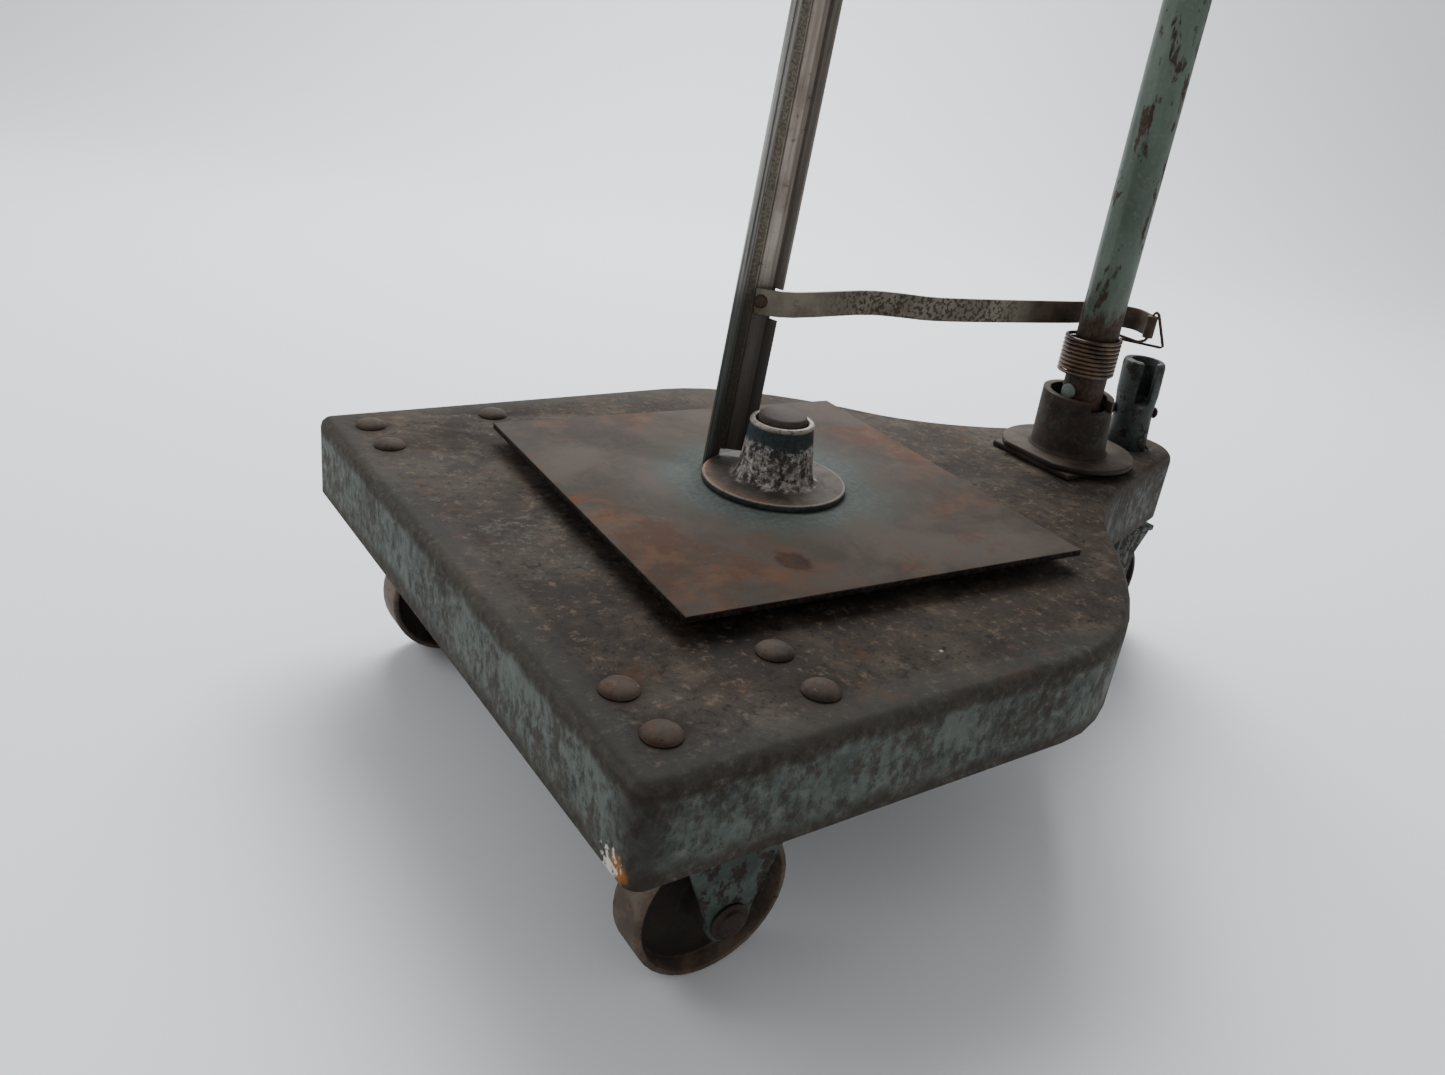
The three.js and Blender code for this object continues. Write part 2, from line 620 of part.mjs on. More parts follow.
function buildSpring() {
  const wire = 1.58;
  const turns = 9;
  const path = new Helix(21.4, 2 * wire + GAP, turns, DECK_TOP + 74.8);
  const place = [fromFront(SOCKET_X) - 2, 1.3, 0];
  const section = new THREE.Shape().absarc(0, 0, wire, 0, Math.PI * 2, false);
  const options = { steps: turns * 14, extrudePath: path, curveSegments: 3, bevelEnabled: false };
  addMesh('handle_spring', new THREE.ExtrudeGeometry(section, options), springSteel, place);
}

// ---- steered caster and its slotted post ----
const PIN_ACROSS = -37;
const POST_PIN_Z = DECK_TOP + 32;

function buildRearCaster() {
  const place = [fromFront(STEER_X), STEER_Y, 0];
  const [crownBottom, crownTop] = [109, 114];
  const crown = block(-28, 27, -LEG_OUT - STEER_Y, LEG_OUT, crownBottom, crownTop);
  const bore = pillar(STEM_R + GAP, crownBottom - 5, crownTop + 5);
  addMesh('rear_fork_crown', cutAll(crown, [bore]), paint, place);
  const inner = STEM_R + GAP;
  const ringTop = crownTop + 5;
  const ringLow = crownTop + GAP;
  const bearing = [[24, ringLow], [24, ringTop], [inner, ringTop], [inner, ringLow]];
  addMesh('swivel_bearing', turnedRing(bearing), castIron, place);
  const houseTop = DECK_TOP - SHEET - GAP;
  const houseLow = ringTop + GAP;
  const house = [[inner, houseLow], [22, houseLow], [22, houseTop], [inner, houseTop]];
  addMesh('swivel_housing', turnedRing(house), castIron, place);
  const headTop = crownBottom - GAP;
  const stemTop = DECK_TOP + 38;
  const stem = [[0, 102.4], [15, 102.4], [15, headTop], [STEM_R, headTop], [STEM_R, stemTop], [0, stemTop]];
  const pinBore = acrossPost(pillar(3.3, -40, 40, 0, 0, 16));
  addMesh('steering_stem', cutAll(turned(stem, 28), [pinBore]), castIron, place);
  buildSlottedPost(place, stemTop);
  const outline = () => legShape(-10, 29, headTop, -12, 16, 88);
  const legPlace = [fromFront(REAR_AXLE_X), 0, 0];
  addMesh('rear_right_leg', standLeg(outline(), -LEG_OUT), paint, legPlace);
  addMesh('rear_left_leg', standLeg(outline(), LEG_OUT - LEG_T), paint, legPlace);
  buildWheelSet('rear', REAR_AXLE_X, 0, -1);
}

// Lays a turned piece across the leaning post at the height of its pin.
function acrossPost(geometry) {
  const [x, y] = leanAt(POST_PIN_Z);
  return geometry.rotateY(Math.PI / 2).rotateZ(rad(PIN_ACROSS)).translate(x, y, POST_PIN_Z);
}

function buildSlottedPost(place, stemTop) {
  const slotFloor = DECK_TOP + 45;
  const foot = DECK_TOP - SHEET;
  const outside = leaned(turned([
    [0, foot], [CLEVIS_R, foot], [CLEVIS_R - 0.9, DECK_TOP + 31], [CLEVIS_R - 0.4, DECK_TOP + 39],
    [18, DECK_TOP + 50], [18.2, CLEVIS_TOP - 4], [17.4, CLEVIS_TOP - 1], [16.2, CLEVIS_TOP], [0, CLEVIS_TOP],
  ], 36));
  const stemBore = pillar(STEM_R + GAP, foot - 5, stemTop + 0.4);
  const [x, y] = leanAt((slotFloor + CLEVIS_TOP) / 2);
  const bore = pillar(12, slotFloor, CLEVIS_TOP + 5, x, y, 36);
  const slot = block(0, 40, -6.5, 6.5, slotFloor, CLEVIS_TOP + 10);
  const slotEnd = pillar(6.5, 0, 40, 0, 0, 24).rotateY(Math.PI / 2).translate(0, 0, slotFloor);
  for (const piece of [slot, slotEnd]) piece.rotateZ(rad(SLOT_AZIMUTH)).translate(x, y, 0);
  const pinBore = acrossPost(pillar(3.3, -40, 40, 0, 0, 16));
  addMesh('slotted_post', cutAll(outside, [stemBore, bore, slot, slotEnd, pinBore]), paint, place);
  const head = CLEVIS_R + GAP;
  const pin = turned([
    [0, -head - 3.6], [3, -head - 3.2], [5, -head - 1.6], [5, -head], [3, -head], [3, head], [5, head],
    [5, head + 1.6], [3, head + 3.2], [0, head + 3.6],
  ], 16);
  addMesh('post_pin', acrossPost(pin), castIron, place);
}

buildDeck();
buildFrontCaster('right', -1);
buildFrontCaster('left', 1);
buildRivets();
buildKingPin();
buildTurntable();
buildPost();
buildStrap();
buildBail();
buildSocket();
buildHandle();
buildSpring();
buildRearCaster();

export default cart;
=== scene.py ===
import math

import bpy
from mathutils import Matrix, Vector


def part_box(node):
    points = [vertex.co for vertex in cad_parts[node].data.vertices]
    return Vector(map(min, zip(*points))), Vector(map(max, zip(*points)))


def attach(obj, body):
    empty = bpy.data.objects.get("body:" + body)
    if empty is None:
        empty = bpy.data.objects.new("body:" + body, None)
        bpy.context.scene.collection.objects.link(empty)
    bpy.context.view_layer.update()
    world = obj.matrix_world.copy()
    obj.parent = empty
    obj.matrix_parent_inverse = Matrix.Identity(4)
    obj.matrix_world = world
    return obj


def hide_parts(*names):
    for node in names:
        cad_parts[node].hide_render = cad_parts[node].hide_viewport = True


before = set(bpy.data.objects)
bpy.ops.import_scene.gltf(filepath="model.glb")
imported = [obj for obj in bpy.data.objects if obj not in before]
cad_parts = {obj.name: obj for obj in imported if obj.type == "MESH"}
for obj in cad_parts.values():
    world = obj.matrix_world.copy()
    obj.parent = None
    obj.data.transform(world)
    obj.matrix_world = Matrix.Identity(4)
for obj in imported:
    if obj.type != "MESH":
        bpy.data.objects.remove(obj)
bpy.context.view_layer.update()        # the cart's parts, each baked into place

# ---- Camera -------------------------------------------------------------------------------
# A person stands off the cart's front right corner and holds the camera a little above the
# deck, slightly tilted, so that the post and the tube lean to the right.
VIEW_RIGHT = Vector((0.82845114, -0.54638407, 0.12301686))
VIEW_UP = Vector((0.14005158, 0.41477766, 0.89908011))
VIEW_BACK = Vector((-0.5422677, -0.72761524, 0.42014498))
CAMERA_PLACE = (-0.5705, -0.5799, 0.49675)
SENSOR_MM = 36
LENS_MM = 28.43
bpy.ops.object.camera_add()
camera = bpy.context.object
camera.name = "camera"
camera.matrix_world = Matrix.Translation(CAMERA_PLACE) @ Matrix(
    (VIEW_RIGHT, VIEW_UP, VIEW_BACK)).transposed().to_4x4()
camera.data.sensor_fit = "HORIZONTAL"
camera.data.sensor_width = SENSOR_MM
camera.data.lens = LENS_MM
camera.data.clip_start = 0.02
bpy.context.scene.camera = camera


# ---- Floor, backdrop and light ------------------------------------------------------------
# The floor and the backdrop are one pale sheet, rolled up behind the cart.  A wide soft box
# hangs over and behind the cart, and the white room fills the shadows.
class Shade:
    """One socket of a material, which sums like a number.  node() adds any other node."""

    def __init__(self, tree, socket=None):
        self.tree = tree
        self.socket = socket

    def node(self, kind, settings=None, sockets=None, output=0):
        added = self.tree.nodes.new("ShaderNode" + kind)
        for name, value in (settings or {}).items():
            setattr(added, name, value)
        for name, value in (sockets or {}).items():
            if isinstance(value, Shade):
                self.tree.links.new(value.socket, added.inputs[name])
            else:
                added.inputs[name].default_value = value
        return Shade(self.tree, added.outputs[output])

    def maths(self, operation, *values):
        return self.node("Math", {"operation": operation}, dict(enumerate(values)))

    def __add__(self, other):
        return self.maths("ADD", self, other)

    def __sub__(self, other):
        return self.maths("SUBTRACT", self, other)

    def __rsub__(self, other):
        return self.maths("SUBTRACT", other, self)

    def __mul__(self, other):
        return self.maths("MULTIPLY", self, other)

    def __truediv__(self, other):
        return self.maths("DIVIDE", self, other)

    def __pow__(self, other):
        return self.maths("POWER", self, other)

    def __abs__(self):
        return self.maths("ABSOLUTE", self)

    __radd__ = __add__
    __rmul__ = __mul__


def tint(code):
    """A colour from its web code, as light."""
    parts = [int(code[i:i + 2], 16) / 255 for i in (1, 3, 5)]
    light = [c / 12.92 if c <= 0.04045 else ((c + 0.055) / 1.055) ** 2.4 for c in parts]
    return (*light, 1)


def new_finish(name):
    """A material with its shader; returns the material and its start for patterns."""
    material = bpy.data.materials.new(name)
    material.use_nodes = True
    return material, Shade(material.node_tree)


def paint_on(material, start, **looks):
    """Gives the material's shader its colour, roughness, metal and normal."""
    shader = material.node_tree.nodes["Principled BSDF"]
    names = {"colour": "Base Color", "roughness": "Roughness", "metal": "Metallic",
             "normal": "Normal", "shine": "Specular IOR Level"}
    for look, value in looks.items():
        if isinstance(value, Shade):
            start.tree.links.new(value.socket, shader.inputs[names[look]])
        else:
            shader.inputs[names[look]].default_value = value


FLOOR_PALE = "#e9edf3"
SHEET_SIDE = 9
SHEET_FORWARD = 1.3
SHEET_RISE = 5
SHEET_BEND = 1.2
SHEET_TURN = math.radians(-36.7)
bpy.ops.object.select_all(action="DESELECT")
bpy.ops.mesh.primitive_plane_add(size=SHEET_SIDE, location=(0, 0, 0))
floor = bpy.context.object
floor.name = "floor"
bpy.ops.object.mode_set(mode="EDIT")
bpy.ops.mesh.select_all(action="SELECT")
bpy.ops.transform.translate(value=(0, -SHEET_FORWARD, 0))
bpy.ops.mesh.select_all(action="DESELECT")
bpy.ops.object.mode_set(mode="OBJECT")
for vertex in floor.data.vertices:
    vertex.select = vertex.co.y > 0
bpy.ops.object.mode_set(mode="EDIT")
bpy.ops.mesh.select_mode(type="EDGE")
bpy.ops.mesh.extrude_region_move(TRANSFORM_OT_translate={"value": (0, 0, SHEET_RISE)})
bpy.ops.mesh.select_all(action="DESELECT")
bpy.ops.object.mode_set(mode="OBJECT")
for edge in floor.data.edges:
    ends = [floor.data.vertices[i].co for i in edge.vertices]
    edge.select = all(end.y > 0 and end.z < 1 for end in ends)
bpy.ops.object.mode_set(mode="EDIT")
bpy.ops.mesh.bevel(offset=SHEET_BEND, segments=18)
bpy.ops.object.mode_set(mode="OBJECT")
bpy.ops.object.shade_smooth()
floor.rotation_euler = (0, 0, SHEET_TURN)
bpy.ops.object.transform_apply(location=True, rotation=True, scale=True)
floor_finish, start = new_finish("floor_sheet")
paint_on(floor_finish, start, colour=tint(FLOOR_PALE), roughness=0.7)
floor.data.materials.append(floor_finish)


def soft_box(name, size, power, place, aim, colour):
    """An area light that hangs at a place and points at another."""
    bpy.ops.object.light_add(type="AREA", location=place)
    lamp = bpy.context.object
    lamp.name = name
    lamp.data.size = size
    lamp.data.energy = power
    lamp.data.color = colour
    lamp.rotation_euler = (Vector(aim) - Vector(place)).to_track_quat("-Z", "Y").to_euler()


soft_box("box_over", size=2.0, power=150, place=(0.9, 1.7, 2.5), aim=(0, 0.2, 0.1),
         colour=(1, 0.985, 0.96))
soft_box("box_left", size=1.8, power=30, place=(-2.3, 2.0, 1.9), aim=(0, 0.2, 0.2),
         colour=(0.97, 0.98, 1))
ROOM_COLOUR = (1, 0.985, 0.955, 1)
ROOM_STRENGTH = 0.5
room = bpy.data.worlds.new("room")
room.use_nodes = True
room_light = room.node_tree.nodes["Background"]
room_light.inputs["Color"].default_value = ROOM_COLOUR
room_light.inputs["Strength"].default_value = ROOM_STRENGTH
bpy.context.scene.world = room


# ---- Deck ---------------------------------------------------------------------------------
# The deck is one sheet of 3 mm steel, pressed into a pan with a deep skirt and a rolled edge.
# Its top has lost its paint to dusty brown rust; the skirt keeps a mottled grey-green coat.
JOIN_WITHIN = 0.00001
FLAT_WITHIN_DEGREES = 0.6


def pick_only(piece):
    """Makes the piece the only one selected, and the active one."""
    bpy.ops.object.select_all(action="DESELECT")
    piece.select_set(True)
    bpy.context.view_layer.objects.active = piece


def rework(name, node, body, ease=0.0004, smooth=32):
    """A piece on a CAD node's shape: triangles joined, flats made whole, edges eased."""
    piece = bpy.data.objects.new(name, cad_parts[node].data.copy())
    bpy.context.scene.collection.objects.link(piece)
    piece.data.materials.clear()
    pick_only(piece)
    bpy.ops.object.mode_set(mode="EDIT")
    bpy.ops.mesh.select_all(action="SELECT")
    bpy.ops.mesh.remove_doubles(threshold=JOIN_WITHIN)
    bpy.ops.mesh.dissolve_limited(angle_limit=math.radians(FLAT_WITHIN_DEGREES))
    bpy.ops.object.mode_set(mode="OBJECT")
    if ease:
        soft = piece.modifiers.new("eased", "BEVEL")
        soft.width = ease
        soft.segments = 2
        soft.limit_method = "ANGLE"
        soft.angle_limit = math.radians(smooth)
        bpy.ops.object.modifier_apply(modifier="eased")
    bpy.ops.object.shade_smooth_by_angle(angle=math.radians(smooth + 8))
    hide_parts(node)
    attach(piece, body)
    return piece


def part_of(vector, which):
    """X, Y or Z of a vector socket."""
    return vector.node("SeparateXYZ", None, {0: vector}, "XYZ".index(which))


def place_on(start):
    """The place on the cart, for a material's patterns."""
    return start.node("TexCoord", output=3)


def facing_up(start):
    """How much a surface faces up: 1 is level, 0 is upright and -1 is an underside."""
    return part_of(start.node("TexCoord", output=1), "Z")


def step_up(value, low, high):
    """0 below low, 1 above high, and smooth between."""
    sockets = {"Value": value, "From Min": low, "From Max": high}
    return value.node("MapRange", {"interpolation_type": "SMOOTHSTEP"}, sockets)


def stretched(place, x, y, z):
    """A place scaled by a number along each axis, so that a pattern gets long in one way."""
    return place.node("VectorMath", {"operation": "MULTIPLY"}, {0: place, 1: (x, y, z)})


def moved(place, x, y, z):
    """A place measured from a point; it also gives a noise another draw."""
    return place.node("VectorMath", {"operation": "SUBTRACT"}, {0: place, 1: (x, y, z)})


def grain(place, scale, detail=6, rough=0.6, warp=0.0):
    """Cloudy noise, about 0.3 to 0.7."""
    sockets = {"Vector": place, "Scale": scale, "Detail": detail, "Roughness": rough,
               "Distortion": warp}
    return place.node("TexNoise", None, sockets)


def laid(mask, over, under):
    """One colour laid over another where the mask is 1."""
    colours = [tint(c) if isinstance(c, str) else c for c in (over, under)]
    return mask.node("Mix", {"data_type": "RGBA"}, {0: mask, 7: colours[0], 6: colours[1]}, 2)


def from_point(place, x, y, z=0.0, flat=(1, 1, 0)):
    """The distance from a point, level with the floor unless flat says otherwise."""
    away = stretched(moved(place, x, y, z), *flat)
    return away.node("VectorMath", {"operation": "LENGTH"}, {0: away}, 1)


def specks(place, scale, size, share):
    """Small round spots: one in each cell that chance picks."""
    cell = place.node("TexVoronoi", None, {"Vector": place, "Scale": scale})
    chance = part_of(Shade(place.tree, cell.socket.node.outputs["Color"]), "X")
    return (1 - step_up(cell, size * 0.6, size)) * step_up(chance, 1 - share, 1 - share + 0.01)


def bumped(start, height, depth, normal=None):
    """A normal from a height pattern; depth in metres is how deep the pattern cuts."""
    sockets = {"Height": height, "Distance": depth, "Strength": 1.0}
    if normal is not None:
        sockets["Normal"] = normal
    return start.node("Bump", None, sockets)


deck_low, deck_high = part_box("deck")
DECK_BEND = 0.007
DRIP = (-0.0897, -0.2367)
RUST_SPOT = (-0.341, -0.232, 0.131)
CHALK_SPOT = (-0.346, -0.226, 0.126)
rivets = [sum(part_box(f"deck_rivet_{n}"), Vector()) / 2 for n in range(1, 9)]
rivet_x = sorted({round(centre.x, 4) for centre in rivets})
rivet_y = sorted({round(abs(centre.y), 4) for centre in rivets})


def deck_finish():
    material, start = new_finish("deck_iron")
    place, level = place_on(start), facing_up(start)
    height = part_of(place, "Z")
    east, north = part_of(place, "X"), part_of(place, "Y")
    up = step_up(level, 0.5, 0.9)
    down = step_up(0 - level, 0.5, 0.9)

    clouds = grain(place, 11, 8, 0.62, 0.4)
    fine = grain(place, 160, 6, 0.7)
    top = laid(step_up(clouds, 0.4, 0.6), "#3a332c", "#2a231e")
    top = laid(step_up(grain(moved(place, 3, 1, 0), 34, 6, 0.65), 0.5, 0.68) * 0.7, "#494037", top)
    stain = step_up(grain(moved(place, 7, 2, 0), 6.5, 7, 0.62, 0.6), 0.5, 0.63)
    top = laid(stain * 0.7, "#1b1715", top)
    wash = step_up(grain(moved(place, 1, 5, 0), 9, 7, 0.66), 0.52, 0.66)
    top = laid(wash * step_up(fine, 0.42, 0.6) * 0.6, "#383c39", top)
    top = laid(step_up(fine, 0.53, 0.7) * 0.7, "#5e5145", top)
    top = laid(1 - step_up(fine, 0.34, 0.46), "#15110f", top)
    from_rivet = start.maths(
        "SQRT",
        (abs(east - sum(rivet_x) / 2) - (rivet_x[-1] - rivet_x[0]) / 2) ** 2
        + (abs(abs(north) - sum(rivet_y) / 2) - (rivet_y[-1] - rivet_y[0]) / 2) ** 2)
    # A dark ring round each rivet head: partly rust, partly painted shade where the head meets the
    # deck.
    ring = 1 - step_up(from_rivet + fine * 0.006, 0.0125, 0.022)
    top = laid(ring * 0.75, "#221912", top)
    rust = step_up(grain(moved(place, 4, 4, 0), 40, 5, 0.6), 0.6, 0.72)
    top = laid(rust * 0.8, "#432c1c", top)
    edge = start.maths("MINIMUM", deck_high.y - abs(north), east - deck_low.x)
    rim = 1 - step_up(edge + (clouds - 0.5) * 0.05, 0.006, 0.03)
    top = laid(rim * 0.55, "#363734", top)
    grit = specks(place, 55, 0.1, 0.05)
    top = laid(grit * 0.9, "#c9c6bd", top)

    tall = stretched(place, 1, 1, 0.62)
    blotch = grain(tall, 30, 7, 0.7, 0.3)
    chips = grain(tall, 150, 8, 0.75)
    coat = laid(step_up(grain(place, 13, 5, 0.6), 0.42, 0.6), "#555c57", "#3e4440")
    coat = laid(step_up(fine, 0.4, 0.66) * 0.6, "#656c68", coat)
    low = 1 - step_up(height + (blotch - 0.5) * 0.03, deck_low.z + 0.003, deck_low.z + 0.016)
    brow = step_up(height + (blotch - 0.5) * 0.022, deck_high.z - 0.016, deck_high.z - 0.009)
    neck = step_up(east + (blotch - 0.5) * 0.1, 0.02, 0.16)
    bare = step_up(chips + (blotch - 0.5) * 0.7 + neck * 0.05, 0.42, 0.6) * 0.75 + neck * 0.15
    bare = start.maths("MAXIMUM", bare, low * 0.85)
    bare = start.maths("MAXIMUM", bare, brow * 0.85)
    iron = laid(step_up(fine, 0.4, 0.62), "#403830", "#2d2621")
    side = laid(bare, iron, coat)
    side = laid(step_up(fine, 0.55, 0.72) * 0.4, "#6a6c65", side)
    corner = from_point(place, deck_low.x, deck_low.y)
    side = laid((1 - step_up(corner + blotch * 0.02, 0.012, 0.04)) * 0.75, "#29231f", side)
    drip = 1 - step_up(from_point(place, *DRIP), 0.004, 0.009)
    drip = drip * step_up(fine, 0.3, 0.5)
    side = laid(drip * 0.8, "#231c17", side)
    spot = from_point(place, *RUST_SPOT, flat=(1, 1, 1)) + (fine - 0.5) * 0.012
    side = laid(1 - step_up(spot, 0.005, 0.011), "#8a5a2c", side)
    chalk = from_point(place, *CHALK_SPOT, flat=(1, 0.7, 0.6))
    chalk = chalk + (grain(place, 300) - 0.5) * 0.03
    side = laid(1 - step_up(chalk, 0.003, 0.006), "#c4c0b6", side)

    both = laid(up, top, side)
    roll = step_up(height, deck_high.z - DECK_BEND, deck_high.z - 0.004) * (1 - up)
    both = laid(roll * step_up(chips, 0.38, 0.6) * 0.8, "#44413d", both)
    both = laid(down, "#29201b", both)
    rough = 0.86 - up * 0.06 - (1 - bare) * (1 - up) * 0.16 + (fine - 0.5) * 0.2
    relief = fine * 0.35 + chips * (1 - up) * 0.8 + blotch * 0.6 + grain(place, 420, 3) * 0.2
    dents = grain(moved(place, 0, 0, 4), 5.5, 2, 0.4)
    normal = bumped(start, relief, 0.0007, bumped(start, dents, 0.004))
    paint_on(material, start, colour=both, roughness=rough, metal=0, normal=normal, shine=0.15)
    return material


deck_pan = rework("deck_pan", "deck", "deck", ease=0.0006)
deck_pan.data.materials.append(deck_finish())


# ---- Casters ------------------------------------------------------------------------------
# Each front wheel runs between two steel legs under a plate that four rivets hold to the deck.
# The legs keep a mottled green coat; the iron wheels and the riveted axles are bare brown.
def green_finish(name, coat_dark, coat_light, bare_share, iron_light, iron_dark):
    material, start = new_finish(name)
    place = place_on(start)
    fine = grain(place, 190, 6, 0.7)
    blotch = grain(place, 38, 6, 0.65, 0.3)
    chips = grain(stretched(place, 1, 1, 0.7), 130, 8, 0.7)
    coat = laid(step_up(blotch, 0.38, 0.62), coat_light, coat_dark)
    bare = step_up(chips + (blotch - 0.5) * 0.7, 0.62 - bare_share * 0.3, 0.7 - bare_share * 0.3)
    iron = laid(step_up(fine, 0.4, 0.65), iron_light, iron_dark)
    colour = laid(bare, iron, coat)
    colour = laid(step_up(fine, 0.58, 0.72) * 0.35, "#6d726c", colour)
    rough = 0.62 + bare * 0.22 + (fine - 0.5) * 0.2
    normal = bumped(start, fine * 0.4 - bare * 0.5 + blotch * 0.4, 0.0006)
    paint_on(material, start, colour=colour, roughness=rough, metal=0.1, normal=normal, shine=0.4)
    return material


WHEEL_RADIUS = 0.05
DISH_EDGE = (0.0425, 0.0455)


def iron_finish(name, light, dark, rust, shine=0.35, rough_base=0.68, metal=0.35, axle_x=None):
    """Bare iron; with an axle's X it is a wheel, whose recessed dish is painted near black as
    shade.
    """
    material, start = new_finish(name)
    place = place_on(start)
    fine = grain(place, 220, 6, 0.7)
    cloud = grain(place, 45, 6, 0.62, 0.3)
    colour = laid(step_up(cloud, 0.4, 0.62), light, dark)
    rusted = step_up(grain(moved(place, 2, 0, 0), 85, 6, 0.65), 0.54, 0.68)
    colour = laid(rusted * 0.8, rust, colour)
    colour = laid(step_up(fine, 0.6, 0.75) * 0.5, "#7b726a", colour)
    colour = laid(1 - step_up(fine, 0.3, 0.42), "#1a1410", colour)
    if axle_x is not None:
        # The wheel's hollow dish is painted near black: painted shade in the recess.
        reach = from_point(place, axle_x, 0, WHEEL_RADIUS, flat=(1, 0, 1))
        dish_painted_shade = 1 - step_up(reach + (cloud - 0.5) * 0.004, *DISH_EDGE)
        colour = laid(dish_painted_shade * 0.85, "#15100d", colour)
    rough = rough_base + (cloud - 0.5) * 0.4 + (fine - 0.5) * 0.2
    normal = bumped(start, fine * 0.5 + cloud * 0.5, 0.0005)
    paint_on(material, start, colour=colour, roughness=rough, metal=metal, normal=normal,
             shine=shine)
    return material


leg_green = green_finish("leg_green", "#313a35", "#4a544f", 0.42, "#3c322b", "#211a16")
front_axle = sum(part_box("right_axle"), Vector()) / 2
rear_axle = sum(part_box("rear_axle"), Vector()) / 2
wheel_iron = iron_finish("wheel_iron", "#6a5e53", "#50443c", "#6b4a38", axle_x=front_axle.x)
rear_iron = iron_finish("rear_wheel_iron", "#4d443d", "#352c27", "#4a3428", axle_x=rear_axle.x)
dark_iron = iron_finish("dark_iron", "#3a302a", "#251e1b", "#493224")
under_iron = iron_finish("under_iron", "#3e332b", "#2a2119", "#503727", 0.25, 0.85, 0.1)
bronze_finish = iron_finish("worn_bronze", "#8c6f42", "#6b5230", "#5a4630", 0.5, 0.45, 0.8)
for side in ("right", "left"):
    for node in ("fork_plate", "outer_leg", "inner_leg"):
        piece = rework(f"{side}_{node}_steel", f"{side}_{node}", "deck",
                       ease=0.0005)
        piece.data.materials.append(leg_green)
    for node in ("axle", "axle_nut"):
        piece = rework(f"{side}_{node}_iron", f"{side}_{node}", "deck",
                       ease=0.0004)
        piece.data.materials.append(dark_iron)
    for node, slot, finish in (
            ("wheel", "wheel_iron", wheel_iron),
            ("bush", "bronze", bronze_finish)):
        piece = rework(f"{side}_{node}_turned", f"{side}_{node}", f"{side}_wheel",
                       ease=0.0008)
        piece.data.materials.append(finish)


# ---- Deck rivets --------------------------------------------------------------------------
# Eight iron rivets clamp the fork plates to the deck, four over each front wheel.  They were
# set hot and their heads hammered to low domes; all have rusted dark brown with the deck.
RIVET_STEPS = 32


def turned(name, profile, steps):
    """A piece spun about Z through the origin from a line of (radius, height) points."""
    bpy.ops.object.select_all(action="DESELECT")
    bpy.ops.mesh.primitive_plane_add(size=0.001, location=(0, 0, 0))
    piece = bpy.context.object
    piece.name = name
    bpy.ops.object.mode_set(mode="EDIT")
    bpy.ops.mesh.select_mode(type="VERT")
    bpy.ops.mesh.select_all(action="SELECT")
    bpy.ops.mesh.merge(type="CENTER")
    bpy.ops.transform.translate(value=(profile[0][0], 0, profile[0][1]))
    for (r0, z0), (r1, z1) in zip(profile, profile[1:]):
        bpy.ops.mesh.extrude_region_move(TRANSFORM_OT_translate={"value": (r1 - r0, 0, z1 - z0)})
    bpy.ops.mesh.select_all(action="SELECT")
    bpy.ops.mesh.spin(steps=steps, angle=2 * math.pi, center=(0, 0, 0), axis=(0, 0, 1))
    bpy.ops.mesh.select_all(action="SELECT")
    bpy.ops.mesh.remove_doubles(threshold=0.000005)
    bpy.ops.mesh.normals_make_consistent(inside=False)
    bpy.ops.object.mode_set(mode="OBJECT")
    bpy.ops.object.shade_smooth_by_angle(angle=math.radians(40))
    return piece


def set_down(piece, place, turn=(0, 0, 0)):
    """Puts a piece at its place for good, with its object left at the origin."""
    pick_only(piece)
    piece.location = place
    piece.rotation_euler = turn
    bpy.ops.object.transform_apply(location=True, rotation=True, scale=True)


RIVET_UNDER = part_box("deck_rivet_1")[0].z - deck_high.z
rivet_profile = [
    (0, RIVET_UNDER), (0.004, RIVET_UNDER + 0.0004), (0.006, RIVET_UNDER + 0.002),
    (0.0065, -0.0078), (0.004, -0.0076), (0.004, 0.0003), (0.0108, 0.0003), (0.01095, 0.0007),
    (0.0103, 0.0018), (0.0091, 0.0029), (0.0073, 0.0038), (0.0052, 0.0045), (0.0028, 0.0049),
    (0.0011, 0.0051), (0, 0.0051),
]
rivet_iron = iron_finish("rivet_iron", "#463c35", "#2f2722", "#41291b", 0.2, 0.78, 0.05)
rivet_heads = [turned("deck_rivet_head_1", rivet_profile, RIVET_STEPS)]
for n in range(2, len(rivets) + 1):
    piece = rivet_heads[0].copy()
    piece.data = rivet_heads[0].data.copy()
    piece.name = f"deck_rivet_head_{n}"
    bpy.context.scene.collection.objects.link(piece)
    rivet_heads.append(piece)
for n, (piece, centre) in enumerate(zip(rivet_heads, rivets), 1):
    set_down(piece, (centre.x, centre.y, deck_high.z), (0, 0, n * 0.7))
    piece.data.materials.append(rivet_iron)
    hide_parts(f"deck_rivet_{n}")
    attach(piece, "deck")


# ---- Turntable ----------------------------------------------------------------------------
# The square load plate turns on a ring and a bronze washer round the king pin.  It has rusted
# purple-brown, with orange patches and a halo of old blue-green paint round the hub.
hub = sum(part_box("king_pin"), Vector()) / 2
HALO_EDGE = (0.062, 0.09)
HAZE_EDGE = (0.072, 0.112)
RUST_EDGE = (0.095, 0.14)
POCK = (-0.1625, -0.107, 0)
BROWN_SPOT = (-0.248, 0.0154)


